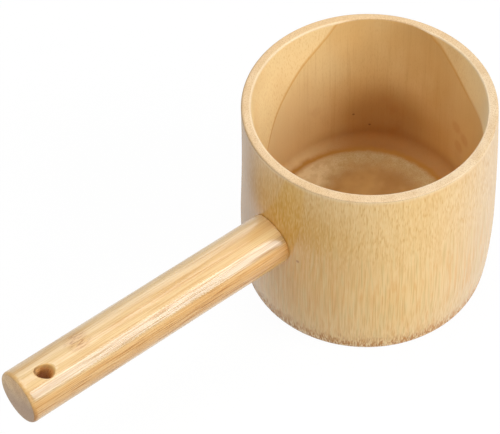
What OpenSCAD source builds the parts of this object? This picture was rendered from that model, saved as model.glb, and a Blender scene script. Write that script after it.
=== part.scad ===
// Water dipper: a bamboo cup with a round rod handle let into its wall.
// Millimetres. The origin is the centre of the cup's base and +Z is up.
// The handle points along +X.

/* [Cup outside] */
// Height of the cup from the base to the rim
cup_height = 82.5; // [76:0.5:96]
// Width across the rim
rim_width = 91; // [89:0.5:100]
// Width across the widest part of the cup
belly_width = 93; // [91:0.5:102]
// Height of the widest part above the base
belly_height = 30; // [20:1:34]
// How far the wall draws in from the widest part to the base
foot_taper = 2.6; // [1.6:0.1:3.6]
// Rounding of the rim's two edges
rim_round = 0.8; // [0.4:0.1:1.2]

/* [Cup inside] */
// Thickness of the turned wall at the rim
mouth_wall = 3.6; // [3.2:0.1:5]
// Inward slope of the turned mouth, in degrees
mouth_slope = 4.6; // [3:0.1:6]
// Width of the natural hollow across its narrow way
hollow_width = 77.4; // [74:0.2:79]
// How much longer than wide the natural hollow is
hollow_oval = 6; // [4.6:0.1:6.4]
// Turn of the hollow's long way from the handle, in degrees
hollow_turn = 47; // [30:1:70]
// Distance of the hollow's middle from the cup's axis
hollow_shift = 0.9; // [0.5:0.1:1.2]
// Direction of that distance from the handle, in degrees
hollow_shift_turn = 162; // [140:1:180]
// Height of the floor above the base
floor_height = 18; // [14:0.5:22]
// Rounding between the hollow's wall and the floor
floor_round = 6; // [3:0.5:8]

/* [Foot] */
// Thickness of the floor, the natural wall across the stem
floor_thickness = 6; // [4:0.5:8]
// Width of the recess under the floor
recess_width = 74; // [66:0.5:76]
// Rounding at the top of the recess
recess_round = 4; // [2:0.5:6]

/* [Handle] */
// Height of the handle's middle above the base
handle_height = 44; // [42:0.5:54]
// Length of the handle outside the cup's wall
handle_length = 111.3; // [90:0.1:140]
// Width of the handle at its free end
handle_width = 20; // [18:0.1:22]
// Width of the handle at the cup
neck_width = 19.5; // [17.5:0.1:21.5]
// Rounding of the free end's edge
end_round = 1; // [0.5:0.1:2]

/* [Joint] */
// Width of the round tenon that passes through the cup's wall
tenon_width = 12; // [10:0.1:14]
// How far the tenon stands proud of the inside wall
tenon_proud = 0.8; // [0.4:0.1:1.5]
// Gap for glue between the tenon and its hole
tenon_gap = 0.05; // [0.03:0.01:0.1]
// Gap for glue between the handle's shoulder and the cup
shoulder_gap = 0.1; // [0.05:0.01:0.2]

/* [Wedge] */
// Length of the wedge that spreads the tenon
wedge_length = 6; // [4:0.1:6.4]
// Thickness of the wedge at its thick end
wedge_thickness = 2.4; // [1.8:0.1:3]
// Thickness of the wedge at its tip
wedge_tip = 0.8; // [0.5:0.1:1.2]
// Gap round the wedge in its slot
wedge_gap = 0.05; // [0.03:0.01:0.1]

/* [Hang hole] */
// Width of the hang hole
hole_width = 5.6; // [4:0.1:8]
// Distance of the hole from the free end
hole_inset = 10.7; // [8:0.1:20]
// Turn of the hole about the handle, away from upright, in degrees
hole_turn = 16; // [0:1:45]
// Depth of the hole's chamfers
hole_chamfer = 1.2; // [0.8:0.1:1.5]

/* [Hidden] */

// Sides of a full turn, and points in each rounded corner of a profile
round_sides = 180;
corner_points = 6;
foot_points = 12;
// How far a cutting shape runs past the face that it cuts
past = 1;

rim_r = rim_width / 2;
belly_r = belly_width / 2;
mouth_r = rim_r - mouth_wall;
hollow_r = hollow_width / 2;
recess_r = recess_width / 2;
neck_r = neck_width / 2;
end_r = handle_width / 2;
tenon_r = tenon_width / 2;
hole_r = hole_width / 2;
recess_height = floor_height - floor_thickness;
mouth_bottom = floor_height + floor_round;

cup_colour = [0.87, 0.72, 0.47];
handle_colour = [0.84, 0.66, 0.40];
wedge_colour = [0.76, 0.58, 0.34];

// Outside radius of the cup's curved foot, at an angle down from its widest part
function foot_r(angle) = belly_r - foot_taper * (1 - cos(angle));
function foot_z(angle) = belly_height * (1 - sin(angle));

// Outside radius of the cup at a height above the foot's curve
function wall_r(z) = belly_r + (rim_r - belly_r) * (z - belly_height) / (cup_height - belly_height);

// Radius of the turned mouth at a height
function mouth_r_at(z) = mouth_r - (cup_height - z) * tan(mouth_slope);

// Points of a rounded corner in a profile, from one angle to another
function corner(x, y, r, from, to) = [
    for (i = [0 : corner_points])
        let (angle = from + (to - from) * i / corner_points)
        [x + r * cos(angle), y + r * sin(angle)]
];

// Centres of the two round cuts that make the oval hollow
function hollow_centre(side) = [
    hollow_shift * cos(hollow_shift_turn) + side * hollow_oval / 2 * cos(hollow_turn),
    hollow_shift * sin(hollow_shift_turn) + side * hollow_oval / 2 * sin(hollow_turn)
];

// Where one of those cuts meets the line from the cup's axis to the handle
function hollow_reach(side) =
    let (centre = hollow_centre(side))
    centre[0] + sqrt(hollow_r * hollow_r - centre[1] * centre[1]);

inside_x = max(hollow_reach(1), hollow_reach(-1), mouth_r_at(handle_height));
outside_x = wall_r(handle_height);
handle_end = outside_x + handle_length;
rod_start = sqrt(rim_r * rim_r - neck_r * neck_r) - past;
tenon_start = inside_x - tenon_proud;
hole_x = handle_end - hole_inset;

// Radius of the handle's rod at a distance from the cup's axis
function rod_r(x) = neck_r + (end_r - neck_r) * (x - outside_x) / handle_length;

// The cup's outside as a full solid, grown by a gap
module cup_outside(gap) {
    edge_r = rim_r - rim_round + gap;
    profile = concat(
        [[0, 0]],
        [
            for (i = [foot_points : -1 : 0])
                let (angle = 90 * i / foot_points)
                [foot_r(angle) + gap, foot_z(angle)]
        ],
        corner(edge_r, cup_height - rim_round, rim_round, 0, 90),
        [[0, cup_height]]
    );
    rotate_extrude($fn = round_sides)
        polygon(profile);
}

// The turned mouth, wider at the rim and rounded over at its edge
module mouth_cut() {
    edge_z = cup_height - rim_round;
    profile = concat(
        [[0, mouth_bottom], [mouth_r_at(mouth_bottom), mouth_bottom]],
        corner(mouth_r + rim_round, edge_z, rim_round, 180, 90),
        [[mouth_r + rim_round, cup_height + past], [0, cup_height + past]]
    );
    rotate_extrude($fn = round_sides)
        polygon(profile);
}

// The natural hollow of the stem, a little oval, with a rounded foot
module hollow_cut() {
    corner_r = hollow_r - floor_round;
    profile = concat(
        [[0, floor_height]],
        corner(corner_r, floor_height + floor_round, floor_round, -90, 0),
        [[hollow_r, cup_height + past], [0, cup_height + past]]
    );
    for (side = [-1, 1])
        translate(hollow_centre(side))
            rotate_extrude($fn = round_sides)
                polygon(profile);
}

// The recess under the floor
module recess_cut() {
    corner_r = recess_r - recess_round;
    profile = concat(
        [[0, -past], [recess_r, -past]],
        corner(corner_r, recess_height - recess_round, recess_round, 0, 90),
        [[0, recess_height]]
    );
    rotate_extrude($fn = round_sides)
        polygon(profile);
}

// A round bar along +X at the handle's height
module bar(x, length, r) {
    translate([x, 0, handle_height])
        rotate([0, 90, 0])
            cylinder(h = length, r = r, $fn = round_sides);
}

// A wedge along +X, thick at its start, grown by a gap on every side
module wedge_shape(gap) {
    thick = wedge_thickness / 2 + gap;
    tip = wedge_tip / 2 + gap;
    length = wedge_length + gap;
    width = 2 * sqrt(tenon_r * tenon_r - wedge_thickness * wedge_thickness / 4) - wedge_gap + 2 * gap;
    translate([tenon_start, 0, handle_height])
        rotate([90, 0, 0])
            linear_extrude(height = width, center = true)
                polygon([[0, -thick], [length, -tip], [length, tip], [0, thick]]);
}

module cup() {
    color(cup_colour)
        difference() {
            cup_outside(0);
            mouth_cut();
            hollow_cut();
            recess_cut();
            bar(0, belly_width, tenon_r + tenon_gap);
        }
}

// The rod with its rounded free end, before it is coped to the cup
module rod() {
    length = handle_end - rod_start;
    profile = concat(
        [[0, 0], [rod_r(rod_start), 0]],
        corner(end_r - end_round, length - end_round, end_round, 0, 90),
        [[0, length]]
    );
    translate([rod_start, 0, handle_height])
        rotate([0, 90, 0])
            rotate_extrude($fn = round_sides)
                polygon(profile);
}

// The hang hole across the rod, chamfered at both mouths
module hang_hole() {
    surface = rod_r(hole_x);
    reach = surface + past;
    translate([hole_x, 0, handle_height])
        rotate([-hole_turn, 0, 0]) {
            cylinder(h = 2 * reach, r = hole_r, center = true, $fn = round_sides);
            for (side = [0, 1])
                mirror([0, 0, side])
                    translate([0, 0, surface - hole_chamfer])
                        cylinder(
                            h = hole_chamfer + past,
                            r1 = hole_r,
                            r2 = hole_r + hole_chamfer + past,
                            $fn = round_sides
                        );
        }
}

module handle() {
    color(handle_colour)
        difference() {
            union() {
                difference() {
                    rod();
                    cup_outside(shoulder_gap);
                }
                bar(tenon_start, outside_x + end_r - tenon_start, tenon_r);
            }
            wedge_slot();
            hang_hole();
        }
}

// The slot in the tenon's end, open to its sides and its face
module wedge_slot() {
    thick = wedge_thickness / 2 + wedge_gap;
    tip = wedge_tip / 2 + wedge_gap;
    length = wedge_length + wedge_gap;
    translate([tenon_start, 0, handle_height])
        rotate([90, 0, 0])
            linear_extrude(height = tenon_width + 2 * past, center = true)
                polygon([[-past, -thick], [0, -thick], [length, -tip], [length, tip], [0, thick], [-past, thick]]);
}

module tenon_wedge() {
    color(wedge_colour)
        wedge_shape(0);
}

cup();
handle();
tenon_wedge();
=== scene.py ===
"""The looks of a bamboo water dipper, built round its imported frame. Metres, +Z up, handle along +X."""

import math

import bpy
import numpy as np
from mathutils import Matrix, Vector

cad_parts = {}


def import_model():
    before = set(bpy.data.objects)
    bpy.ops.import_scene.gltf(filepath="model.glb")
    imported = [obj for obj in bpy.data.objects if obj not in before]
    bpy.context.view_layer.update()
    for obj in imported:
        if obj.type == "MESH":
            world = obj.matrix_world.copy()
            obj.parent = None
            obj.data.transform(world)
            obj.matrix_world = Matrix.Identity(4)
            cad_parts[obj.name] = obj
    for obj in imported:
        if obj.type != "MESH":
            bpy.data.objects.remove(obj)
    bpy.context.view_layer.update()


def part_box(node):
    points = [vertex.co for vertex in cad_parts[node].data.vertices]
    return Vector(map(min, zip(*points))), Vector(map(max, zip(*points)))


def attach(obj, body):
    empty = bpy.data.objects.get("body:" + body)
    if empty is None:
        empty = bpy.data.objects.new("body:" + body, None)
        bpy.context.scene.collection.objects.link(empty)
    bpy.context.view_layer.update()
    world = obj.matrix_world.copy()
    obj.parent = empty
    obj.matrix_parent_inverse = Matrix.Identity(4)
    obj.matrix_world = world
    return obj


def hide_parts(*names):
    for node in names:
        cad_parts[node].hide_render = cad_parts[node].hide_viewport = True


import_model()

MM = 0.001
BODY = "root"

# The photograph's camera: its frame and focal length in pixels, where the middle of the
# rim lies in it and how far away, and the direction that it looks from
PHOTO_SIZE = (500, 434)
FOCAL_PX = 2803.0
SENSOR = 36.0
RIM_AT_PX = (369.6, 104.9)
RIM_DEPTH = 0.990
CAMERA_TURN = 141.5
CAMERA_RISE = 49.4
CAMERA_ROLL = -0.96

# The photograph's left on the level, as a direction
LEFT_X = -math.cos(math.radians(CAMERA_TURN))
LEFT_Y = -math.sin(math.radians(CAMERA_TURN))

# Sizes of the cup. Its box is read from the frame, and the rest is close to its solid.
_, CUP_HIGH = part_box("cup")
CUP_HEIGHT = CUP_HIGH.z
BELLY_R = CUP_HIGH.x
RIM_R = BELLY_R - 1.0 * MM
MOUTH_R = RIM_R - 3.6 * MM
MOUTH_SLOPE = math.tan(math.radians(4.6))
BELLY_HEIGHT = 30 * MM
FOOT_TAPER = 2.6 * MM
RIM_ROUND = 0.6 * MM
WALL_HIGH = CUP_HEIGHT - RIM_ROUND
FLOOR_HEIGHT = 18 * MM
FLOOR_ROUND = 4.0 * MM
WALL_LOW = FLOOR_HEIGHT + FLOOR_ROUND + 1 * MM
RECESS_R = 37 * MM
RECESS_HEIGHT = 12 * MM
RECESS_ROUND = 4 * MM
RECESS_SAG = 0.5 * MM
FOOT_EDGE = 0.7 * MM

# How far the stem strays sideways above its middle, and the other way at its foot
STEM_STRAY = 0.5 * MM
FOOT_STRAY = 0.25 * MM

# Depth below the rim at which the turned mouth meets the natural hollow, in millimetres,
# at angles about the cup in degrees. Below zero the hollow is wider than the mouth.
MOUTH_MEETS_HOLLOW = [
    (0, 26), (25, 16), (50, 9), (80, 8), (110, 11), (140, 14.7), (150, 15.7), (161, 16.4),
    (168, 15.5), (175, 13.1), (180, 10.6), (186, 7.3), (191, 4.1), (196, 1.9), (198.5, 0),
    (205, -8), (216, -13), (231, -11.5), (239, -6.5), (245, 0), (250, 5.1), (255, 9),
    (266, 15.8), (276, 22.4), (288, 30.2), (300, 39.6), (311, 45.4), (323, 47), (343, 40),
]

# The light ring that the stem's node leaves on the floor: its middle, the radii of its
# edges, the low crest that runs along it, and the depth of the dish inside it
RING_MIDDLE = (-1.3 * MM, -2.8 * MM)
RING_OUTER = 33.4 * MM
RING_INNER = 23.6 * MM
CREST_R = 30 * MM
CREST_WIDTH = 3 * MM
CREST_HEIGHT = 0.35 * MM
DISH_DEPTH = 0.7 * MM

# The dish's darker middle, and the shaded patch on the far wall above it
DARK_MIDDLE = (-8.0 * MM, -5.6 * MM)
DARK_R = 20.7 * MM
DARK_PATCH = (-29.5 * MM, -25 * MM, 30 * MM)

# Small marks on the cup: a spot outside beside the handle, and dots and stains on the
# hollow's wall
SPOT = (44.1 * MM, 13.2 * MM, 42.1 * MM)
SPOT_R = 0.9 * MM
WALL_DOTS = [(-28.9 * MM, -31.6 * MM, 25.5 * MM), (-23.9 * MM, -35.3 * MM, 31.6 * MM)]
WALL_DOT_R = 0.65 * MM
WALL_STAINS = [
    (-40.8 * MM, 3.0 * MM, 44.7 * MM),
    (-39.7 * MM, 8.7 * MM, 43.1 * MM),
    (-40.5 * MM, 5.0 * MM, 36.1 * MM),
]
WALL_STAIN_R = 3.6 * MM

# Sizes of the handle. Its box is read from the frame, and the rest is close to its solid.
HANDLE_LOW, HANDLE_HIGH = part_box("handle")
HANDLE_END = HANDLE_HIGH.x
HANDLE_HEIGHT = (HANDLE_LOW.z + HANDLE_HIGH.z) / 2
END_R = (HANDLE_HIGH.z - HANDLE_LOW.z) / 2
NECK_R = 9.75 * MM
END_ROUND = 0.9 * MM
END_ROUND_ALONG = 1.8 * MM
END_CROWN = 0.25 * MM

# The rod's faint wave, and the middle of its node's mark
ROD_WAVE = 0.04 * MM
NODE_MARK = (131 * MM, -0.8 * MM, HANDLE_HEIGHT + END_R)

# The joint: its middle on the cup's outside, the tenon, the shoulder and the bore's cutter
JOINT = (BELLY_R, 0, HANDLE_HEIGHT)
TENON_START = HANDLE_LOW.x
TENON_R = 6 * MM
TENON_GAP = 0.06 * MM
TENON_EDGE = 0.35 * MM
SHOULDER_GAP = 0.12 * MM
SHOULDER_EDGE = 0.45 * MM
BORE_START = TENON_START - 8 * MM
BORE_LENGTH = 18 * MM

# The hang hole: its bore, the rounded lip at both mouths, how far its cutter runs on past
# them, how many of the lip's bands keep the rod's finish, how far the upper mouth lies off
# the bore's line, and its chip
HOLE_R = 2.6 * MM
HOLE_X = HANDLE_END - 10.7 * MM
HOLE_TURN = 16
HOLE_LIP = 0.9 * MM
HOLE_LIP_PAST = 1.5 * MM
HOLE_LIP_BANDS = 4
HOLE_DRIFT = (-0.55 * MM, 0.5 * MM)
HOLE_CHIP = (1.6 * MM, -1.1 * MM)
HOLE_CHIP_DEPTH = 3.6 * MM

# The wedge, the gap that its slot leaves round it, and how far the slot's cutter runs on
WEDGE_LOW, WEDGE_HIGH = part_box("tenon_wedge")
WEDGE_TIP = 0.8 * MM
WEDGE_EDGE = 0.12 * MM
SLOT_GAP = 0.04 * MM
SLOT_PAST = 1 * MM

# The studio: the white world's light, what a camera or a mirror sees of it, the pale floor
# with its reach and its share of plain white, the place that the lamps face, and the lamps
# with their direction, distance, size and power
WORLD_LIGHT = 0.17
WORLD_SEEN = 1.0
FLOOR_SEEN = 1.05
FLOOR_PALE = 0.45
FLOOR_WHITE = 0.92
FLOOR_REACH = 3.0
FLOOR_Z = -0.05 * MM
LAMP_AIM = (0.03, 0, 0.04)
LAMPS = [
    ("key", (-0.405, 0.758, 0.511), 1.3, (0.7, 0.95), 11.8),
    ("overhead", (0.1, -0.1, 1.0), 1.2, (1.0, 1.0), 7.5),
    ("front", (0.5, 0.75, 0.45), 1.4, (0.8, 0.8), 4.4),
    ("left", (0.85, -0.3, 0.45), 1.4, (0.8, 0.8), 1.3),
    ("back", (-0.5, -0.7, 0.6), 1.4, (0.8, 0.8), 2.9),
]

# Points round the cup, round the handle and round a cutter
CUP_TURNS = 420
HANDLE_TURNS = 168
CUTTER_TURNS = 96

# Where each material stands in the cup's list and in the handle's
OUTSIDE, RIM, INSIDE, FOOT = range(4)
SIDE, END, BORE = range(3)


def linear(red, green, blue):
    """A colour as written on screen, 0 to 255, as the renderer's linear one."""
    out = []
    for value in (red, green, blue):
        v = value / 255
        out.append(v / 12.92 if v <= 0.04045 else ((v + 0.055) / 1.055) ** 2.4)
    return (*out, 1.0)


class Nodes:
    """Short ways to build one material's nodes. Textures run in the object's own space."""

    def __init__(self, name):
        self.material = bpy.data.materials.new(name)
        self.material.use_nodes = True
        self.tree = self.material.node_tree
        self.shader = self.tree.nodes["Principled BSDF"]
        self.place = self.tree.nodes.new("ShaderNodeTexCoord").outputs["Object"]
        axes = self.node("ShaderNodeSeparateXYZ", {"Vector": self.place}).outputs
        self.x, self.y, self.z = axes["X"], axes["Y"], axes["Z"]

    def node(self, kind, inputs=(), **settings):
        made = self.tree.nodes.new(kind)
        for name, value in settings.items():
            setattr(made, name, value)
        for name, value in dict(inputs).items():
            self.set(made.inputs[name], value)
        return made

    def set(self, socket, value):
        if isinstance(value, bpy.types.NodeSocket):
            self.tree.links.new(value, socket)
        else:
            socket.default_value = value

    def math(self, operation, a, b=0.0):
        made = self.node("ShaderNodeMath", operation=operation)
        self.set(made.inputs[0], a)
        self.set(made.inputs[1], b)
        return made.outputs[0]

    def plus(self, a, b):
        return self.math("ADD", a, b)

    def minus(self, a, b):
        return self.math("SUBTRACT", a, b)

    def times(self, a, b):
        return self.math("MULTIPLY", a, b)

    def left(self):
        """How far a place lies to the photograph's left of the cup's middle."""
        return self.plus(self.times(self.x, LEFT_X), self.times(self.y, LEFT_Y))

    def away(self):
        """How far a place lies behind the cup's middle, as the photograph shows it."""
        return self.minus(self.times(self.x, LEFT_Y), self.times(self.y, LEFT_X))

    def noise(self, size, detail=2.0, roughness=0.5, warp=0.0, shift=(0, 0, 0)):
        """Noise whose grains have a size in millimetres along each axis."""
        scale = tuple(1 / (s * MM) for s in size)
        mapped = self.node(
            "ShaderNodeMapping", {"Vector": self.place, "Scale": scale, "Location": shift}
        )
        made = self.node(
            "ShaderNodeTexNoise",
            {
                "Vector": mapped.outputs[0],
                "Scale": 1.0,
                "Detail": detail,
                "Roughness": roughness,
                "Distortion": warp,
            },
        )
        return made.outputs["Fac"]

    def between(self, value, low, high, to_low=0.0, to_high=1.0):
        """A smooth step as a value goes from low to high."""
        made = self.node(
            "ShaderNodeMapRange",
            {"Value": value, "From Min": low, "From Max": high, "To Min": to_low, "To Max": to_high},
            interpolation_type="SMOOTHSTEP",
        )
        return made.outputs["Result"]

    def spread(self, mask, low, high):
        """From low where a mask is 0 to high where it is 1."""
        return self.between(mask, 0, 1, low, high)

    def mix(self, factor, a, b):
        """A blend of two colours, each one a socket or written as on screen, 0 to 255."""
        made = self.node("ShaderNodeMix", data_type="RGBA", clamp_factor=True)
        self.set(made.inputs["Factor"], factor)
        for socket, colour in ((made.inputs[6], a), (made.inputs[7], b)):
            self.set(socket, linear(*colour) if isinstance(colour, tuple) else colour)
        return made.outputs[2]

    def tint(self, colour, shade, mask, share=1.0):
        """The colour with a shade mixed in, by the share where the mask is 1."""
        return self.mix(mask if share == 1.0 else self.times(mask, share), colour, shade)

    def distance(self, point, flat=False):
        """How far a place is from a point, or from an upright line through it."""
        apart = self.node("ShaderNodeVectorMath", operation="SUBTRACT")
        self.set(apart.inputs[0], self.place)
        self.set(apart.inputs[1], point)
        vector = apart.outputs[0]
        if flat:
            level = self.node("ShaderNodeVectorMath", operation="MULTIPLY")
            self.set(level.inputs[0], vector)
            self.set(level.inputs[1], (1, 1, 0))
            vector = level.outputs[0]
        length = self.node("ShaderNodeVectorMath", operation="LENGTH")
        self.set(length.inputs[0], vector)
        return length.outputs["Value"]

    def spot(self, point, radius):
        """1 within a small round mark, fading out at its edge."""
        return self.between(self.distance(point), radius, radius * 0.4)

    def bump(self, height, strength, distance):
        made = self.node(
            "ShaderNodeBump", {"Height": height, "Strength": strength, "Distance": distance}
        )
        self.set(self.shader.inputs["Normal"], made.outputs["Normal"])
        return made.outputs["Normal"]

    def facing(self):
        """0 where the surface faces the eye, 1 where it turns away."""
        return self.node("ShaderNodeLayerWeight", {"Blend": 0.5}).outputs["Facing"]

    def finish(self, colour, roughness, coat=0.0, coat_roughness=0.2, coat_ior=1.5, specular=0.5):
        self.set(self.shader.inputs["Base Color"], colour)
        self.set(self.shader.inputs["Roughness"], roughness)
        self.set(self.shader.inputs["Coat Weight"], coat)
        self.set(self.shader.inputs["Coat Roughness"], coat_roughness)
        self.set(self.shader.inputs["Coat IOR"], coat_ior)
        self.set(self.shader.inputs["Specular IOR Level"], specular)
        return self.material


# Materials of the cup


def outside_material():
    """Peeled bamboo: short flecks above, long streaks below, torn ends at the foot, and painted shade
    behind the handle.
    """
    m = Nodes("peeled_bamboo")
    flecks = m.noise((0.34, 0.34, 2.5), detail=0)
    streaks = m.noise((0.42, 0.42, 17), detail=1)
    ribbons = m.noise((1.5, 1.5, 15), detail=2, warp=0.3)
    ragged = m.plus(m.z, m.times(m.minus(ribbons, 0.5), 34 * MM))
    lower = m.between(ragged, 62 * MM, 36 * MM)

    colour = outside_ground(m)
    gold = m.times(m.between(ribbons, 0.53, 0.66), m.spread(lower, 0.12, 0.5))
    colour = m.tint(colour, (230, 168, 76), gold)
    green = m.times(m.between(ribbons, 0.48, 0.36), m.spread(lower, 0.1, 0.4))
    colour = m.tint(colour, (222, 192, 122), green)
    colour = outside_flecks(m, colour, flecks, lower)
    colour = outside_streaks(m, colour, streaks, lower)
    torn_ends, sound = foot_grain(m, streaks)
    colour = m.tint(colour, (182, 110, 30), torn_ends, 0.78)
    colour = m.tint(colour, (250, 218, 152), sound, 0.35)

    top = m.between(m.z, CUP_HEIGHT - 2.4 * MM, CUP_HEIGHT - 0.8 * MM)
    colour = m.tint(colour, (250, 222, 172), top, 0.5)
    # Painted shade on the wall behind the handle
    behind_handle_shade = m.times(m.between(m.y, -2 * MM, -16 * MM), m.between(m.x, 8 * MM, 26 * MM))
    colour = m.tint(colour, (176, 126, 58), behind_handle_shade, 0.62)
    colour = m.tint(colour, (168, 92, 18), m.spot(SPOT, SPOT_R), 0.6)

    grain = m.mix(lower, flecks, streaks)
    m.bump(m.minus(grain, m.times(torn_ends, 0.5)), 0.11, 0.08 * MM)
    coat = outside_coat(m, torn_ends)
    return m.finish(colour, 0.6, coat=coat, coat_roughness=0.16, coat_ior=1.6, specular=0.1)


def outside_ground(m):
    """The peeled outside's colour under its grain: a duller painted sheen far from the handle, and
    golden painted shade and reflection near it.
    """
    patches = m.noise((24, 24, 30), detail=2)
    colour = m.mix(m.between(patches, 0.35, 0.68), (247, 207, 137), (242, 199, 124))
    # Painted sheen: paler and greyer on the side away from the handle
    far_side_sheen = m.between(m.x, 22 * MM, -24 * MM)
    colour = m.tint(colour, (223, 189, 142), far_side_sheen, 0.85)
    # Painted shade and painted reflection of the rod: golden near the joint
    joint_shade_and_reflection = m.between(m.distance(JOINT), 56 * MM, 10 * MM)
    return m.tint(colour, (222, 166, 72), joint_shade_and_reflection, 0.85)


def outside_flecks(m, colour, flecks, lower):
    """Short dark flecks in clusters on the upper part, with pale ones between them."""
    clusters = m.noise((3.2, 3.2, 3.8), detail=2, roughness=0.6)
    strong = m.times(m.between(clusters, 0.4, 0.62, 0.22, 0.55), m.between(lower, 1, 0))
    colour = m.tint(colour, (212, 150, 48), m.times(m.between(flecks, 0.52, 0.72), strong))
    pale = m.times(m.between(flecks, 0.48, 0.3), m.spread(lower, 0.4, 0.1))
    return m.tint(colour, (250, 218, 154), pale)


def outside_streaks(m, colour, streaks, lower):
    """Long dark streaks, stronger on the lower part, with fair ones between them."""
    dark = m.times(m.between(streaks, 0.48, 0.68), m.spread(lower, 0.25, 0.42))
    colour = m.tint(colour, (210, 155, 58), dark)
    fair = m.times(m.between(streaks, 0.5, 0.34), m.spread(lower, 0.1, 0.3))
    return m.tint(colour, (250, 218, 158), fair)


def foot_grain(m, streaks):
    """Masks of the torn and of the sound fibres along the foot's ragged edge."""
    torn = m.noise((0.5, 0.5, 5.5), detail=1, roughness=0.6, shift=(7, 3, 1))
    ragged = m.plus(m.z, m.times(m.minus(streaks, 0.5), 14 * MM))
    foot = m.between(ragged, 9 * MM, 3.5 * MM)
    return m.times(m.between(torn, 0.42, 0.58), foot), m.times(m.between(torn, 0.46, 0.34), foot)


def outside_coat(m, torn_ends):
    """The clear coat: weaker where the surface turns away, on torn fibres and above the joint."""
    coat = m.between(m.facing(), 0.62, 1.0, 1.0, 0.4)
    coat = m.times(coat, m.spread(torn_ends, 1.0, 0.3))
    dull = m.times(m.between(m.z, 46 * MM, 62 * MM), m.between(m.y, -22 * MM, -5 * MM))
    dull = m.times(dull, m.between(m.distance(JOINT), 52 * MM, 20 * MM, 0, 0.7))
    return m.times(coat, m.minus(1.0, dull))


def rim_material():
    """Sanded end grain: pale, with fine dots, golden towards the left and the back, a painted highlight
    on its inner edge and painted shade on its outer edge at the left.
    """
    m = Nodes("sanded_rim")
    dots = m.noise((0.32, 0.32, 2), detail=2, roughness=0.6)
    patches = m.noise((9, 9, 9), detail=2)
    left = m.left()
    out = m.distance((0, 0, 0), flat=True)
    colour = m.mix(m.between(patches, 0.35, 0.7), (231, 206, 168), (217, 187, 144))
    at_left = m.between(left, -34 * MM, 22 * MM, 0, 0.5)
    at_back = m.between(m.away(), 4 * MM, 40 * MM, 0, 0.5)
    colour = m.tint(colour, (227, 191, 139), m.plus(at_left, at_back))
    colour = m.tint(colour, (182, 138, 90), m.between(dots, 0.45, 0.7), 0.7)
    # Painted highlight along the inner edge
    inner_edge_highlight = m.between(out, MOUTH_R + 0.9 * MM, MOUTH_R + 0.4 * MM)
    colour = m.tint(colour, (250, 232, 198), inner_edge_highlight, 0.4)
    # Painted shade on the outer edge at the left, as a rounder edge would take
    outer_edge_shade = m.between(out, RIM_R - 1.2 * MM, RIM_R)
    outer_edge_shade = m.times(outer_edge_shade, m.between(left, 22 * MM, 44 * MM))
    colour = m.tint(colour, (176, 140, 92), outer_edge_shade, 0.7)
    m.bump(dots, 0.2, 0.08 * MM)
    return m.finish(colour, m.between(dots, 0.3, 0.7, 0.45, 0.6), coat=0.3, coat_roughness=0.3)


def inside_material():
    """The turned mouth, the smooth browner wall of the stem's hollow, and its node as the floor."""
    m = Nodes("bamboo_hollow")
    meets = m.node("ShaderNodeAttribute", attribute_name="meets", attribute_type="GEOMETRY")
    below = m.minus(m.minus(CUP_HEIGHT, m.z), meets.outputs["Fac"])
    flecks = m.noise((0.36, 0.36, 1.6), detail=2, roughness=0.6)
    lines = m.noise((0.6, 0.6, 40), detail=3, roughness=0.6)
    patches = m.noise((20, 20, 30), detail=2)
    blotch = m.noise((14, 14, 22), detail=3, roughness=0.6, shift=(2, 5, 1))

    left = m.left()
    wall = hollow_wall(m, flecks, lines, patches)
    wall = hollow_shades(m, wall, blotch, left)
    hollow = node_floor(m, wall, flecks, blotch, left)
    natural = m.between(below, -0.15 * MM, 0.25 * MM)
    colour = m.mix(natural, turned_mouth(m, flecks, patches, left), hollow)
    edge = m.times(m.between(below, -2.2 * MM, 0), m.between(below, 0.6 * MM, 0))
    edge = m.times(edge, m.between(left, -42 * MM, -34 * MM, 0.25, 0.7))
    colour = m.tint(colour, (212, 156, 72), edge)
    m.bump(m.plus(flecks, lines), 0.12, 0.08 * MM)
    roughness = m.between(m.z, FLOOR_HEIGHT + 14 * MM, FLOOR_HEIGHT + 6 * MM, 0.45, 0.85)
    return m.finish(colour, roughness, specular=0.3)


def turned_mouth(m, flecks, patches, left):
    """The pale turned wood of the mouth, darker at the back, with painted light towards the right,
    palest at the near right.
    """
    away = m.away()
    colour = m.mix(m.times(m.between(flecks, 0.48, 0.7), 0.5), (251, 225, 170), (220, 176, 108))
    colour = m.tint(colour, (228, 184, 122), m.between(patches, 0.4, 0.7), 0.4)
    colour = m.tint(colour, (226, 188, 128), m.between(away, 4 * MM, 36 * MM, 0, 0.25))
    # Painted light on the mouth's right side, strongest at the near right
    colour = m.tint(colour, (255, 236, 190), m.between(left, -32 * MM, -42 * MM, 0, 0.7))
    near_right_light = m.times(m.between(left, -34 * MM, -40 * MM), m.between(away, 12 * MM, -6 * MM))
    return m.tint(colour, (255, 246, 214), near_right_light, 0.85)


def hollow_wall(m, flecks, lines, patches):
    """The hollow's smooth wall with its fine grain."""
    wide = m.noise((3.5, 3.5, 60), detail=2)
    wall = m.mix(m.between(patches, 0.35, 0.7), (238, 210, 154), (230, 195, 134))
    wall = m.tint(wall, (190, 138, 78), m.between(lines, 0.5, 0.75), 0.24)
    wall = m.tint(wall, (190, 138, 78), m.between(flecks, 0.5, 0.72), 0.2)
    return m.tint(wall, (206, 152, 88), m.between(wide, 0.5, 0.75), 0.18)


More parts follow.
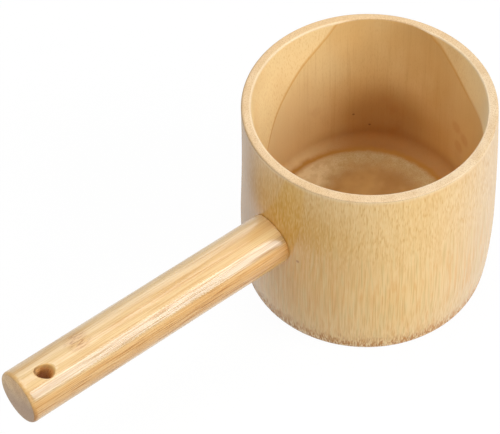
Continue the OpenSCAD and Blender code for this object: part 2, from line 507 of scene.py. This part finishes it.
def hollow_shades(m, wall, blotch, left):
    """The wall's broad shades from top to bottom and from left to right, painted light and shade among
    them, and its small marks.
    """
    # Darker with depth: the hollow's browner colour, and painted shade
    deep = m.between(m.z, 60 * MM, 24 * MM)
    wall = m.tint(wall, (204, 148, 82), deep, 0.35)
    wall = m.tint(wall, (186, 114, 62), m.times(m.between(blotch, 0.58, 0.76), deep), 0.35)
    wall = m.tint(wall, (216, 172, 106), m.between(m.z, 54 * MM, 78 * MM, 0, 0.3))
    lit = m.times(m.between(left, 4 * MM, 30 * MM), m.between(m.z, 72 * MM, 46 * MM, 0, 0.5))
    wall = m.tint(wall, (250, 224, 174), lit)
    # Painted light and shade from left to right: a darker golden tone towards the right, paler at the
    # far right
    wall = m.tint(wall, (216, 170, 104), m.between(left, -4 * MM, -26 * MM, 0, 0.3))
    wall = m.tint(wall, (240, 206, 146), m.between(left, -27 * MM, -38 * MM, 0, 0.5))
    wall = m.tint(wall, (162, 104, 40), m.between(m.distance(DARK_PATCH), 25 * MM, 7 * MM), 0.58)
    # Painted shade where the wall meets the floor, weaker at the left
    foot = m.between(m.z, FLOOR_HEIGHT + 10 * MM, FLOOR_HEIGHT + 1 * MM)
    foot = m.times(foot, m.between(left, 26 * MM, 4 * MM, 0.1, 0.6))
    wall = m.tint(wall, (166, 106, 44), foot)
    for place in WALL_STAINS:
        wall = m.tint(wall, (196, 116, 66), m.spot(place, WALL_STAIN_R), 0.24)
    for place in WALL_DOTS:
        wall = m.tint(wall, (84, 44, 18), m.spot(place, WALL_DOT_R), 0.6)
    return wall


def node_floor(m, wall, flecks, blotch, left):
    """The node's floor inside the wall: a brown dish, a pale ragged ring with painted light at its left,
    and a golden edge.
    """
    ragged = m.noise((3.5, 3.5, 6), detail=2, roughness=0.6)
    stray = m.times(m.minus(ragged, 0.5), 2.4 * MM)
    outer = m.plus(m.distance((*RING_MIDDLE, 0), flat=True), stray)
    inner = m.plus(m.distance((*DARK_MIDDLE, 0), flat=True), stray)
    floor = m.mix(m.between(blotch, 0.35, 0.7), (192, 150, 91), (171, 127, 73))
    pale = m.mix(m.between(flecks, 0.4, 0.66), (208, 186, 140), (192, 159, 106))
    # Painted light on the ring's left part
    pale = m.tint(pale, (244, 220, 176), m.between(left, 4 * MM, 22 * MM, 0, 0.75))
    ring = m.between(inner, DARK_R - 6 * MM, DARK_R + 4.5 * MM)
    ring = m.times(ring, m.between(ragged, 0.35, 0.6, 0.65, 0.95))
    floor = m.mix(ring, floor, pale)
    edge = m.between(outer, RING_OUTER - 2 * MM, RING_OUTER + 0.8 * MM)
    floor = m.tint(floor, (188, 134, 60), edge)
    return m.mix(m.between(outer, RING_OUTER + 0.4 * MM, RING_OUTER + 3 * MM), floor, wall)


def foot_material():
    """The cut ring that the cup stands on, and the node's underside in the recess."""
    m = Nodes("bamboo_foot")
    dots = m.noise((0.34, 0.34, 3), detail=2, roughness=0.6)
    blotch = m.noise((12, 12, 12), detail=3)
    cut_ring = m.mix(m.times(m.between(dots, 0.5, 0.7), 0.55), (226, 188, 134), (172, 122, 68))
    under = m.mix(m.between(blotch, 0.35, 0.7), (206, 160, 104), (178, 128, 76))
    colour = m.mix(m.between(m.z, 0.6 * MM, 2.5 * MM), cut_ring, under)
    m.bump(dots, 0.25, 0.1 * MM)
    return m.finish(colour, m.between(dots, 0.3, 0.7, 0.5, 0.66), coat=0.1, coat_roughness=0.4)


# Materials of the handle


def rod_material():
    """Turned bamboo: long grain under a glossy clear coat, painted shade along its lower side and under
    its highlight, a node's mark and a worn end.
    """
    m = Nodes("turned_rod")
    fibres = m.noise((24, 0.33, 0.33), detail=1)
    lines = m.noise((60, 0.95, 0.95), detail=2, roughness=0.55)
    bands = m.noise((90, 5, 5), detail=2)
    scores = m.noise((12, 0.3, 0.3), detail=0, shift=(4, 2, 6))
    turn = m.math("ARCTAN2", m.minus(m.z, HANDLE_HEIGHT), m.y)
    # Painted shade: a darker golden band along the rod's lower side
    shaded_low_side = m.times(m.between(turn, 0.62, 0.4), m.between(turn, -0.5, -0.1))
    # Painted shade where the key's highlight falls, so that the highlight doesn't clip
    shine = m.times(m.between(turn, 0.48, 0.64), m.between(turn, 1.02, 0.8))

    colour = m.mix(m.between(bands, 0.35, 0.68), (228, 196, 141), (220, 180, 119))
    colour = m.tint(colour, (219, 159, 72), shaded_low_side, 0.6)
    colour = m.tint(colour, (176, 144, 92), shine, 0.85)
    colour = m.tint(colour, (196, 138, 70), m.between(lines, 0.5, 0.72), 0.22)
    dark = m.times(m.between(fibres, 0.5, 0.68), m.spread(shaded_low_side, 0.38, 0.5))
    colour = m.tint(colour, (188, 130, 64), dark)
    colour = m.tint(colour, (244, 210, 150), m.between(fibres, 0.5, 0.32), 0.35)
    scored = m.times(m.between(scores, 0.56, 0.7), m.spread(shaded_low_side, 0.12, 0.7))
    colour = m.tint(colour, (164, 100, 36), scored)
    colour = node_mark(m, colour)
    worn = m.between(m.x, HANDLE_END - 2.0 * MM, HANDLE_END - 0.7 * MM)
    colour = worn_end(m, colour, worn, lines)

    grain = m.bump(m.plus(fibres, lines), 0.3, 0.08 * MM)
    m.set(m.shader.inputs["Coat Normal"], grain)
    coat = m.times(m.between(fibres, 0.48, 0.66, 1.0, 0.6), m.spread(worn, 1.0, 0.5))
    coat = m.times(coat, m.between(scores, 0.56, 0.68, 1.0, 0.45))
    return m.finish(colour, 0.5, coat=coat, coat_roughness=0.15, coat_ior=1.7, specular=0.15)


def node_mark(m, colour):
    """The mark of a node on the rod: a brown haze with short dark dashes."""
    dashes = m.noise((2.2, 0.42, 0.42), detail=1, roughness=0.6, shift=(1, 3, 2))
    haze = m.between(m.distance(NODE_MARK), 6.4 * MM, 1.6 * MM)
    colour = m.tint(colour, (206, 148, 76), haze, 0.35)
    return m.tint(colour, (162, 104, 38), m.times(m.between(dashes, 0.48, 0.6), haze), 0.65)


def worn_end(m, colour, worn, lines):
    """The rod's rounded end, browner where it is worn, and darker still towards its lower side."""
    low = m.between(m.z, HANDLE_HEIGHT + 6 * MM, HANDLE_HEIGHT - 2 * MM)
    shade = m.mix(low, (220, 172, 104), (178, 112, 40))
    return m.mix(m.times(worn, m.between(lines, 0.35, 0.65, 0.5, 0.88)), colour, shade)


def end_material():
    """End grain of the rod: painted shade, greyer away from its top and browner at its foot, with fine
    dots.
    """
    m = Nodes("rod_end_grain")
    dots = m.noise((6, 0.4, 0.4), detail=2, roughness=0.65)
    patches = m.noise((9, 4, 4), detail=2)
    colour = m.mix(m.between(patches, 0.35, 0.7), (246, 204, 138), (224, 176, 112))
    slanted = m.minus(m.z, m.times(m.y, 0.5))
    # Painted shade: greyer away from the top, browner at the foot
    grey_shade = m.between(slanted, HANDLE_HEIGHT + 9 * MM, HANDLE_HEIGHT - 5 * MM)
    colour = m.tint(colour, (172, 138, 108), grey_shade, 0.85)
    lowest_shade = m.between(m.z, HANDLE_HEIGHT + 2 * MM, HANDLE_HEIGHT - 6 * MM)
    colour = m.tint(colour, (188, 142, 86), lowest_shade, 0.4)
    colour = m.tint(colour, (152, 104, 62), m.between(dots, 0.48, 0.7), 0.5)
    m.bump(dots, 0.25, 0.1 * MM)
    return m.finish(colour, m.between(dots, 0.3, 0.7, 0.45, 0.6), coat=0.35, coat_roughness=0.3)


def bore_material():
    """The drilled wall of the hang hole, with torn grain, painted light near its mouths and painted
    shade on its chipped side.
    """
    m = Nodes("drilled_bamboo")
    torn = m.noise((5, 0.5, 0.5), detail=3, roughness=0.7)
    height = m.math("ABSOLUTE", m.minus(m.z, HANDLE_HEIGHT))
    colour = m.mix(m.between(torn, 0.4, 0.65), (252, 206, 134), (220, 156, 84))
    # Painted light: a plain paler tone near the mouths
    colour = m.tint(colour, (236, 196, 128), m.between(height, 6.6 * MM, 8.6 * MM))
    # Painted shade on the chipped side
    colour = m.tint(colour, (158, 120, 78), m.between(m.x, HOLE_X, HOLE_X + 2.6 * MM), 0.8)
    m.bump(torn, 0.4, 0.2 * MM)
    return m.finish(colour, 0.6)


def wedge_material():
    """Split bamboo, a little darker than the rod."""
    m = Nodes("split_bamboo")
    grain = m.noise((12, 0.5, 0.5), detail=3, roughness=0.6)
    colour = m.mix(m.between(grain, 0.4, 0.68), (204, 158, 98), (160, 112, 60))
    m.bump(grain, 0.3, 0.1 * MM)
    return m.finish(colour, 0.55)


# Shapes in common


def full_turn(count):
    """Angles round a full turn, in radians."""
    return np.linspace(0, 2 * math.pi, count, endpoint=False)


def corner(count, start, stop):
    """Angles of a rounded corner, given in degrees, in radians."""
    return np.radians(np.linspace(start, stop, count))


def link(name, mesh, materials, kinds):
    """An object of a mesh, with its materials and the one that each face takes."""
    for material in materials:
        mesh.materials.append(material)
    mesh.polygons.foreach_set("material_index", kinds)
    made = bpy.data.objects.new(name, mesh)
    bpy.context.scene.collection.objects.link(made)
    return made


def skin(name, rings, groups, materials):
    """A closed mesh through rings of points, with a pole at each end. groups gives a material
    to the start's fan, to each gap between two rings and to the end's fan."""
    turns = len(rings[0])
    points = [rings[0].mean(0)] + [p for ring in rings for p in ring] + [rings[-1].mean(0)]
    last = len(points) - 1
    faces, kinds = [], []
    for t in range(turns):
        n = (t + 1) % turns
        faces.append((0, 1 + t, 1 + n))
        kinds.append(groups[0])
        for r in range(len(rings) - 1):
            a, b = 1 + r * turns, 1 + (r + 1) * turns
            faces.append((a + t, b + t, b + n, a + n))
            kinds.append(groups[r + 1])
        a = 1 + (len(rings) - 1) * turns
        faces.append((last, a + n, a + t))
        kinds.append(groups[-1])
    mesh = bpy.data.meshes.new(name)
    mesh.from_pydata([tuple(p) for p in points], [], faces)
    return link(name, mesh, materials, kinds)


def skin_parts(name, parts, materials):
    """A closed mesh through parts of (rings, material), where a ring's material also covers
    the gap before it."""
    rings = [ring for part, kind in parts for ring in part]
    groups = [kind for part, kind in parts for ring in part]
    return skin(name, rings, groups + groups[-1:], materials)


def bar(name, turns, stations, place, materials, kind):
    """A round bar through stations of (distance along it, radius), moved to its place."""
    a = full_turn(turns)
    rings = []
    for along, radius in stations:
        ring = np.stack([radius * np.cos(a), radius * np.sin(a), np.full(turns, along)], -1)
        rings.append(ring @ np.array(place.to_3x3()).T + np.array(place.translation))
    return skin(name, rings, [kind] * (len(rings) + 1), materials)


def prism(name, outline, half_width, materials, kind):
    """An upright outline of (x, z) points spread sideways about the handle's middle."""
    count = len(outline)
    points = [(x, s * half_width, HANDLE_HEIGHT + z) for s in (-1, 1) for x, z in outline]
    faces = [tuple(range(count)), tuple(range(2 * count - 1, count - 1, -1))]
    faces += [(i + count, (i + 1) % count + count, (i + 1) % count, i) for i in range(count)]
    mesh = bpy.data.meshes.new(name)
    mesh.from_pydata(points, [], faces)
    return link(name, mesh, materials, [kind] * len(faces))


def bake(piece):
    """Puts the result of a piece's modifiers in its mesh."""
    ready = piece.evaluated_get(bpy.context.evaluated_depsgraph_get())
    mesh = bpy.data.meshes.new_from_object(ready)
    piece.modifiers.clear()
    piece.data = mesh


def cut(piece, *tools):
    """Takes each tool's space out of a piece, and removes the tools."""
    for tool in tools:
        modifier = piece.modifiers.new("cut", "BOOLEAN")
        modifier.object = tool
        modifier.operation = "DIFFERENCE"
        modifier.solver = "EXACT"
    bake(piece)
    for tool in tools:
        bpy.data.objects.remove(tool)


def smooth(piece, angle):
    """Smooth shading, with edges sharper than an angle in degrees kept sharp."""
    piece.data.shade_smooth()
    piece.data.set_sharp_from_angle(angle=math.radians(angle))


# Shapes of the cup


def meets_depth(angle):
    """Depth below the rim at which the mouth meets the hollow, at angles in radians: a smooth
    curve through its points, with the first and last few repeated to close it."""
    places, depths = np.array(MOUTH_MEETS_HOLLOW, float).T
    places = np.concatenate([places[-2:] - 360, places, places[:3] + 360])
    depths = np.concatenate([depths[-2:], depths, depths[:3]])
    slopes = np.gradient(depths, places)
    at = np.degrees(angle) % 360
    before = np.searchsorted(places, at, side="right") - 1
    after = before + 1
    step = places[after] - places[before]
    t = (at - places[before]) / step
    leaving = (1 + 2 * t) * depths[before] + t * step * slopes[before]
    arriving = (3 - 2 * t) * depths[after] + (t - 1) * step * slopes[after]
    return (leaving * (1 - t) ** 2 + arriving * t ** 2) * MM


def hollow_r(angle):
    """Radius of the natural hollow at angles about the cup."""
    return MOUTH_R - MOUTH_SLOPE * meets_depth(angle)


def outside_r(z):
    """The cup's outside radius at a height, without the rim's rounding."""
    straight = BELLY_R + (RIM_R - BELLY_R) * (z - BELLY_HEIGHT) / (CUP_HEIGHT - BELLY_HEIGHT)
    down = np.clip(1 - z / BELLY_HEIGHT, 0, 1)
    curved = BELLY_R - FOOT_TAPER * (1 - np.sqrt(1 - down * down))
    return np.where(z > BELLY_HEIGHT, straight, curved)


def lean(z):
    """How far the stem strays sideways at a height, towards the photograph's right."""
    share = z / CUP_HEIGHT
    stray = STEM_STRAY * np.sin(math.pi * share ** 1.5) - FOOT_STRAY * (1 - share) ** 4
    return -stray * LEFT_X, -stray * LEFT_Y


def floor_z(x, y):
    """Height of the floor at a place: a low crest round a shallow dish."""
    away = np.hypot(x - RING_MIDDLE[0], y - RING_MIDDLE[1])
    dish = -DISH_DEPTH * np.clip(1 - away / RING_INNER, 0, 1) ** 0.7
    crest = CREST_HEIGHT * np.exp(-(((away - CREST_R) / CREST_WIDTH) ** 2))
    return FLOOR_HEIGHT + dish + crest


def cup_ring(a, radius, z, strays=True):
    """Points round the cup at angles, which stray with the stem on the outside."""
    z = np.broadcast_to(np.asarray(z, float), a.shape)
    dx, dy = lean(z) if strays else (0, 0)
    return np.stack([radius * np.cos(a) + dx, radius * np.sin(a) + dy, z], -1)


def cup_inside(a):
    """Rings of the floor from its middle out, of its rounded edge, and of the wall going up."""
    hollow = hollow_r(a)
    flat_r = hollow - FLOOR_ROUND
    rings = []
    for share in np.linspace(0.04, 0.97, 24):
        r = flat_r * share
        rings.append(cup_ring(a, r, floor_z(r * np.cos(a), r * np.sin(a)), False))
    edge_z = floor_z(flat_r * np.cos(a), flat_r * np.sin(a))
    for angle in corner(10, -90, 0):
        r = flat_r + FLOOR_ROUND * np.cos(angle)
        rings.append(cup_ring(a, r, edge_z + FLOOR_ROUND * (1 + np.sin(angle)), False))
    for z in np.linspace(WALL_LOW, WALL_HIGH, 62):
        turned = MOUTH_R - MOUTH_SLOPE * (CUP_HEIGHT - z)
        rings.append(cup_ring(a, np.maximum(turned, hollow), z, False))
    return rings


def cup_rim(a):
    """Rings over the rim, from its inner rounding to its outer one."""
    mouth = np.maximum(MOUTH_R, hollow_r(a))
    low_rim, high_rim = mouth + RIM_ROUND, RIM_R - RIM_ROUND
    rings = []
    for angle in corner(6, 180, 90)[1:]:
        r, z = mouth + RIM_ROUND * (1 + np.cos(angle)), WALL_HIGH + RIM_ROUND * np.sin(angle)
        rings.append(cup_ring(a, r, z, False))
    for share in (0.33, 0.67):
        rings.append(cup_ring(a, low_rim + (high_rim - low_rim) * share, CUP_HEIGHT, False))
    for angle in corner(6, 90, 0):
        r, z = high_rim + RIM_ROUND * np.cos(angle), WALL_HIGH + RIM_ROUND * np.sin(angle)
        rings.append(cup_ring(a, r, z, False))
    return rings


def cup_outside(a):
    """Rings down the outside, to the edge that the cup stands on."""
    heights = list(np.linspace(WALL_HIGH, BELLY_HEIGHT, 54)[1:])
    heights += [BELLY_HEIGHT * (1 - math.sin(angle)) for angle in corner(18, 0, 84)[1:]]
    rings = [cup_ring(a, outside_r(z), z) for z in heights]
    return rings + [cup_ring(a, BELLY_R - FOOT_TAPER, 0.0)]


def cup_foot(a):
    """Rings of the ring that the cup stands on, and up the recess to its middle."""
    foot_r = BELLY_R - FOOT_TAPER
    recess_flat = RECESS_R - RECESS_ROUND
    rings = []
    for share in (0.3, 0.7):
        rings.append(cup_ring(a, foot_r + (RECESS_R + FOOT_EDGE - foot_r) * share, 0.0))
    for angle in corner(5, 90, 0):
        r = RECESS_R + FOOT_EDGE * (1 - np.cos(angle))
        rings.append(cup_ring(a, r, FOOT_EDGE * (1 - np.sin(angle))))
    for z in np.linspace(FOOT_EDGE, RECESS_HEIGHT - RECESS_ROUND, 7)[1:]:
        rings.append(cup_ring(a, RECESS_R, z))
    for angle in corner(8, 0, 90)[1:]:
        r = recess_flat + RECESS_ROUND * np.cos(angle)
        rings.append(cup_ring(a, r, RECESS_HEIGHT - RECESS_ROUND * (1 - np.sin(angle))))
    for share in np.linspace(0.9, 0.05, 12):
        sag = RECESS_SAG * math.cos(share * math.pi / 2)
        rings.append(cup_ring(a, recess_flat * share, RECESS_HEIGHT - sag))
    return rings


def bore_cutter(materials):
    """The space of the hole that the tenon passes through."""
    turned = Matrix.Rotation(math.pi / 2, 4, "Y")
    place = Matrix.Translation((BORE_START, 0, HANDLE_HEIGHT)) @ turned
    radius = TENON_R + TENON_GAP
    stations = [(BORE_LENGTH, radius), (0, radius)]
    return bar("bore", CUTTER_TURNS, stations, place, materials, RIM)


def store_meets(cup):
    """Keeps the depth of the mouth's edge on each vertex, for the inside's material."""
    places = np.array([v.co for v in cup.data.vertices])
    depths = meets_depth(np.arctan2(places[:, 1], places[:, 0]))
    attribute = cup.data.attributes.new("meets", "FLOAT", "POINT")
    attribute.data.foreach_set("value", depths.astype(np.float32))


def build_cup():
    """The cup in one skin, with its bore and the depth of the mouth's edge."""
    a = full_turn(CUP_TURNS)
    parts = [
        (cup_inside(a), INSIDE), (cup_rim(a), RIM), (cup_outside(a), OUTSIDE), (cup_foot(a), FOOT)
    ]
    materials = [outside_material(), rim_material(), inside_material(), foot_material()]
    cup = skin_parts("cup_body", parts, materials)
    cut(cup, bore_cutter(materials))
    store_meets(cup)
    smooth(cup, angle=38)
    return cup


# Shapes of the handle


def rod_r(x):
    """Radius of the tapered rod at a distance along it."""
    wall = outside_r(HANDLE_HEIGHT)
    return NECK_R + (END_R - NECK_R) * (x - wall) / (HANDLE_END - wall)


def shoulder_x(y, z):
    """Where the shoulder lies against the cup's outside, at a place across the handle."""
    dx, dy = lean(z)
    reach = outside_r(z) + SHOULDER_GAP
    return dx + np.sqrt(reach ** 2 - (y - dy) ** 2)


def shoulder_round(a, radius):
    """The shoulder's places round the handle, at a radius."""
    return shoulder_x(radius * np.cos(a), HANDLE_HEIGHT + radius * np.sin(a))


def rod_ring(a, x, radius):
    """Points round the handle's middle at angles."""
    y, z = radius * np.cos(a), HANDLE_HEIGHT + radius * np.sin(a)
    return np.stack([np.broadcast_to(x, a.shape), y, z], -1)


def free_end(a):
    """Rings of the crowned end face from its middle out, and of its rounded edge."""
    flat = END_R - END_ROUND
    face, edge = [], []
    for share in np.linspace(0.08, 0.98, 9):
        crown = END_CROWN * (1 - share ** 2)
        face.append(rod_ring(a, HANDLE_END - END_CROWN + crown, flat * share))
    for angle in corner(8, 90, 0):
        drop = END_CROWN * math.sin(angle)
        x = HANDLE_END - END_ROUND_ALONG * (1 - math.sin(angle)) - drop
        edge.append(rod_ring(a, x, flat + END_ROUND * math.cos(angle)))
    return face + edge[:2], edge[2:]


def rod_side(a):
    """Rings along the rod with its faint wave, to the rounded edge at the cup."""
    neck_x = shoulder_round(a, NECK_R)
    far = HANDLE_END - END_ROUND_ALONG
    rings = []
    for share in np.linspace(0, 1, 90)[1:]:
        x = far + (neck_x + SHOULDER_EDGE - far) * share
        wave = ROD_WAVE * np.sin(3 * a + 0.4) * math.sin(math.pi * share)
        rings.append(rod_ring(a, x, rod_r(x) + wave))
    for angle in corner(5, 0, 90)[1:]:
        x = neck_x + SHOULDER_EDGE * (1 - math.sin(angle))
        rings.append(rod_ring(a, x, NECK_R - SHOULDER_EDGE * (1 - math.cos(angle))))
    return rings


def shoulder(a):
    """Rings across the coped shoulder, in to the tenon."""
    rings = []
    for share in np.linspace(0, 1, 5)[1:]:
        radius = NECK_R - SHOULDER_EDGE + (TENON_R - NECK_R + SHOULDER_EDGE) * share
        rings.append(rod_ring(a, shoulder_round(a, radius), radius))
    return rings


def tenon(a):
    """Rings along the tenon, and of its rounded edge and end."""
    tip = TENON_START + TENON_EDGE
    neck = shoulder_round(a, TENON_R)
    side, end = [], []
    for share in np.linspace(0, 1, 8)[1:]:
        side.append(rod_ring(a, neck + (tip - neck) * share, TENON_R))
    for angle in corner(4, 0, 90)[1:]:
        radius = TENON_R - TENON_EDGE * (1 - math.cos(angle))
        end.append(rod_ring(a, tip - TENON_EDGE * math.sin(angle), radius))
    for share in (0.75, 0.5, 0.25):
        end.append(rod_ring(a, TENON_START, TENON_R * share))
    return side, end


def build_handle():
    """The rod with its shoulder and tenon in one skin, with its hole and slot."""
    a = full_turn(HANDLE_TURNS)
    end_face, end_edge = free_end(a)
    tenon_side, tenon_end = tenon(a)
    parts = [
        (end_face, END), (end_edge, SIDE), (rod_side(a), SIDE), (shoulder(a), END),
        (tenon_side, SIDE), (tenon_end, END),
    ]
    materials = [rod_material(), end_material(), bore_material()]
    handle = skin_parts("handle_rod", parts, materials)
    cut(handle, hole_cutter(materials), slot_cutter(materials))
    smooth(handle, angle=40)
    return handle


def hole_profile():
    """Radii and depths of half the hang hole: over its rounded lip and down its bore."""
    half = [(HOLE_R + HOLE_LIP + HOLE_LIP_PAST, -HOLE_LIP_PAST)]
    for angle in corner(9, 72, 0):
        half.append((HOLE_R + HOLE_LIP * (1 - math.cos(angle)), HOLE_LIP * (1 - math.sin(angle))))
    for depth in np.linspace(HOLE_LIP, HOLE_CHIP_DEPTH, 6)[1:]:
        half.append((HOLE_R, depth))
    return half


def hole_cutter(materials):
    """The hang hole's space: a bore with a rounded lip at both mouths, whose upper mouth lies
    a little off the bore's line and has a chip out of one side."""
    a = full_turn(CUTTER_TURNS)
    crown = rod_r(HOLE_X)
    turned = np.array(Matrix.Rotation(math.radians(-HOLE_TURN), 3, "X"))
    middle = np.array((HOLE_X, 0, HANDLE_HEIGHT))
    towards_chip = np.cos(a) * HOLE_CHIP[0] + np.sin(a) * HOLE_CHIP[1]
    share = np.clip(towards_chip / math.hypot(*HOLE_CHIP), 0, 1)
    half = hole_profile()
    rings = []
    for side, profile in ((1, half), (-1, half[::-1])):
        for radius, depth in profile:
            near = np.clip(1 - depth / HOLE_CHIP_DEPTH, 0, 1) if side > 0 else 0
            chipped = near ** 0.4
            x = radius * np.cos(a) + HOLE_DRIFT[0] * near + HOLE_CHIP[0] * chipped * share
            y = radius * np.sin(a) + HOLE_DRIFT[1] * near + HOLE_CHIP[1] * chipped * share
            ring = np.stack([x, y, np.full(CUTTER_TURNS, side * (crown - depth))], -1)
            rings.append(ring @ turned.T + middle)
    lip = [SIDE] * HOLE_LIP_BANDS
    bore = [BORE] * (len(rings) + 1 - 2 * HOLE_LIP_BANDS)
    return skin("hole", rings, lip + bore + lip, materials)


def wedge_outline(gap, before):
    """The wedge from its thick end to its tip, grown by a gap and run on before its start."""
    thick = (WEDGE_HIGH.z - WEDGE_LOW.z) / 2 + gap
    tip = WEDGE_TIP / 2 + gap
    start, stop = WEDGE_LOW.x, WEDGE_HIGH.x + gap
    return [(start - before, -thick), (stop, -tip), (stop, tip), (start - before, thick)]


def slot_cutter(materials):
    """The space of the slot that the wedge fills in the tenon."""
    outline = wedge_outline(SLOT_GAP, SLOT_PAST)
    return prism("slot", outline, TENON_R + SLOT_PAST, materials, END)


def build_wedge():
    """The wedge in the tenon's end, with faintly rounded edges."""
    half_width = (WEDGE_HIGH.y - WEDGE_LOW.y) / 2
    wedge = prism("wedge", wedge_outline(0, 0), half_width, [wedge_material()], 0)
    bevel = wedge.modifiers.new("edges", "BEVEL")
    bevel.width = WEDGE_EDGE
    bevel.segments = 2
    bake(wedge)
    smooth(wedge, angle=40)
    return wedge


# The studio


def camera():
    """The photograph's camera, from where the rim's middle lies in its frame."""
    turn, rise, roll = (math.radians(v) for v in (CAMERA_TURN, CAMERA_RISE, CAMERA_ROLL))
    back = Vector((math.sin(turn) * math.cos(rise), -math.cos(turn) * math.cos(rise), math.sin(rise)))
    right = Vector((0, 0, 1)).cross(back).normalized()
    up = back.cross(right)
    right, up = (
        math.cos(roll) * right + math.sin(roll) * up,
        math.cos(roll) * up - math.sin(roll) * right,
    )
    across = (RIM_AT_PX[0] - PHOTO_SIZE[0] / 2) / FOCAL_PX * RIM_DEPTH
    above = (PHOTO_SIZE[1] / 2 - RIM_AT_PX[1]) / FOCAL_PX * RIM_DEPTH
    place = Vector((0, 0, CUP_HEIGHT)) - across * right - above * up + RIM_DEPTH * back
    data = bpy.data.cameras.new("camera")
    data.sensor_width = SENSOR
    data.sensor_fit = "HORIZONTAL"
    data.lens = FOCAL_PX * SENSOR / PHOTO_SIZE[0]
    made = bpy.data.objects.new("camera", data)
    axes = Matrix((right, up, back)).transposed()
    made.matrix_world = Matrix.Translation(place) @ axes.to_4x4()
    bpy.context.scene.collection.objects.link(made)
    bpy.context.scene.camera = made


def softbox(name, direction, away, size, power):
    """An area lamp that faces the dipper."""
    data = bpy.data.lights.new(name, "AREA")
    data.shape = "RECTANGLE"
    data.size, data.size_y = size
    data.energy = power
    made = bpy.data.objects.new(name, data)
    out = Vector(direction).normalized()
    made.location = Vector(LAMP_AIM) + out * away
    made.rotation_euler = out.to_track_quat("Z", "Y").to_euler()
    bpy.context.scene.collection.objects.link(made)


def seen_directly(tree):
    """1 for rays from the camera, a mirror or glass, else 0."""
    path = tree.nodes.new("ShaderNodeLightPath")
    first = tree.nodes.new("ShaderNodeMath")
    first.operation = "MAXIMUM"
    second = tree.nodes.new("ShaderNodeMath")
    second.operation = "MAXIMUM"
    tree.links.new(path.outputs["Is Camera Ray"], first.inputs[0])
    tree.links.new(path.outputs["Is Glossy Ray"], first.inputs[1])
    tree.links.new(first.outputs[0], second.inputs[0])
    tree.links.new(path.outputs["Is Transmission Ray"], second.inputs[1])
    return second.outputs[0]


def world():
    """A world that lights the dipper softly and looks plain white."""
    made = bpy.data.worlds.new("studio")
    made.use_nodes = True
    bpy.context.scene.world = made
    tree = made.node_tree
    light = tree.nodes["Background"]
    light.inputs["Color"].default_value = (1, 1, 1, 1)
    light.inputs["Strength"].default_value = WORLD_LIGHT
    seen = tree.nodes.new("ShaderNodeBackground")
    seen.inputs["Strength"].default_value = WORLD_SEEN
    seen.inputs["Color"].default_value = (1, 1, 1, 1)
    mix = tree.nodes.new("ShaderNodeMixShader")
    tree.links.new(seen_directly(tree), mix.inputs["Fac"])
    tree.links.new(light.outputs[0], mix.inputs[1])
    tree.links.new(seen.outputs[0], mix.inputs[2])
    tree.links.new(mix.outputs[0], tree.nodes["World Output"].inputs["Surface"])


def floor_material():
    """Pale and matt for the light that it throws back, and nearly plain white to look at."""
    material = bpy.data.materials.new("white_floor")
    material.use_nodes = True
    tree = material.node_tree
    tree.nodes.remove(tree.nodes["Principled BSDF"])
    matt = tree.nodes.new("ShaderNodeBsdfDiffuse")
    matt.inputs["Color"].default_value = (FLOOR_PALE, FLOOR_PALE, FLOOR_PALE, 1)
    glow = tree.nodes.new("ShaderNodeEmission")
    glow.inputs["Strength"].default_value = FLOOR_SEEN
    share = tree.nodes.new("ShaderNodeMath")
    share.operation = "MULTIPLY"
    share.inputs[1].default_value = FLOOR_WHITE
    tree.links.new(seen_directly(tree), share.inputs[0])
    mix = tree.nodes.new("ShaderNodeMixShader")
    tree.links.new(share.outputs[0], mix.inputs["Fac"])
    tree.links.new(matt.outputs[0], mix.inputs[1])
    tree.links.new(glow.outputs[0], mix.inputs[2])
    tree.links.new(mix.outputs[0], tree.nodes["Material Output"].inputs["Surface"])
    return material


def floor():
    """A white floor that keeps a faint shadow."""
    sides = ((-1, -1), (1, -1), (1, 1), (-1, 1))
    mesh = bpy.data.meshes.new("floor")
    points = [(x * FLOOR_REACH, y * FLOOR_REACH, FLOOR_Z) for x, y in sides]
    mesh.from_pydata(points, [], [(0, 1, 2, 3)])
    made = link("floor", mesh, [floor_material()], [0])


camera()
world()
floor()
for lamp in LAMPS:
    softbox(*lamp)

for piece, node, slot in (
    (build_cup(), "cup", "cup_bamboo"),
    (build_handle(), "handle", "handle_bamboo"),
    (build_wedge(), "tenon_wedge", "wedge_bamboo"),
):
    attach(piece, BODY)
    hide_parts(node)

bpy.context.scene.view_settings.view_transform = "Standard"
bpy.context.view_layer.update()
